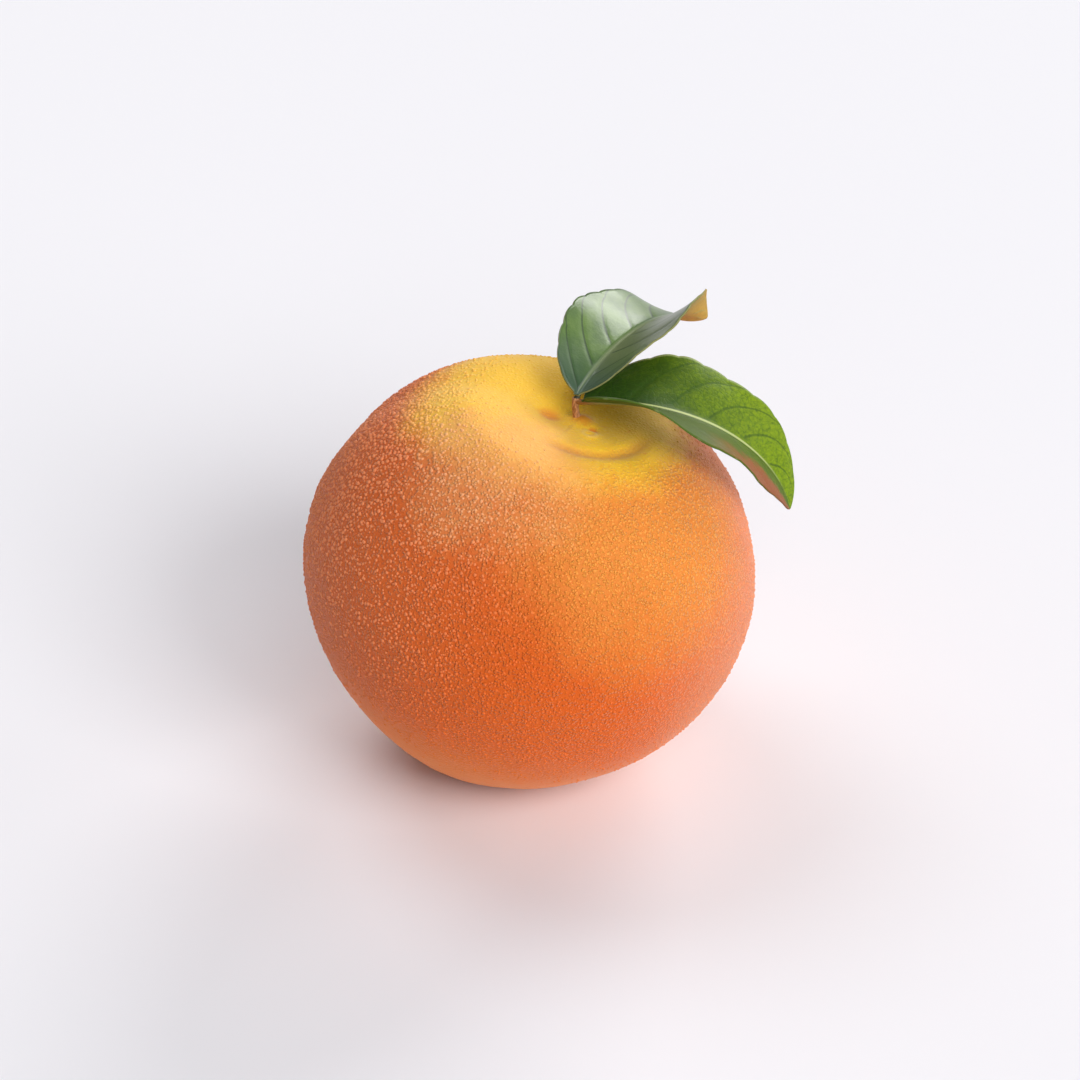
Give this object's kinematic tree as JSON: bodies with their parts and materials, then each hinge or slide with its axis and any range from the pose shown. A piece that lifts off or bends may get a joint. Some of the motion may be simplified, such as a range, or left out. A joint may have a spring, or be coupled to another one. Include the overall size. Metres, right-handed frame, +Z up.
{
  "type": "peach",
  "caption": "Whole ripe peach with a short stem and green leaves, standing on the small flat spot at its blossom end.",
  "frame": {"origin": "centre of the flat resting spot under the fruit", "axes": "+Z up out of the resting surface, -Y towards the viewed front, +X to the right, the side that the stem leans and the front leaf points to"},
  "size_m": [0.0762, 0.0704, 0.0715],
  "materials": {
    "peach_skin": "velvety orange-red skin, yellow at the crown and towards the foot, with a fine beaded grain",
    "stem_wood": "dry brown woody nub",
    "leaf_green_front": "satin green leaf, dark at the stalk and yellow-green at the tip, with a pale midrib",
    "leaf_green_rear": "glossy grey-green leaf with sunken veins and a dry ochre tip"
  },
  "bodies": {
    "root": {"peach_body": "peach_skin", "stem": "stem_wood", "leaf_front": "leaf_green_front", "leaf_rear": "leaf_green_rear"}
  },
  "joints": []
}
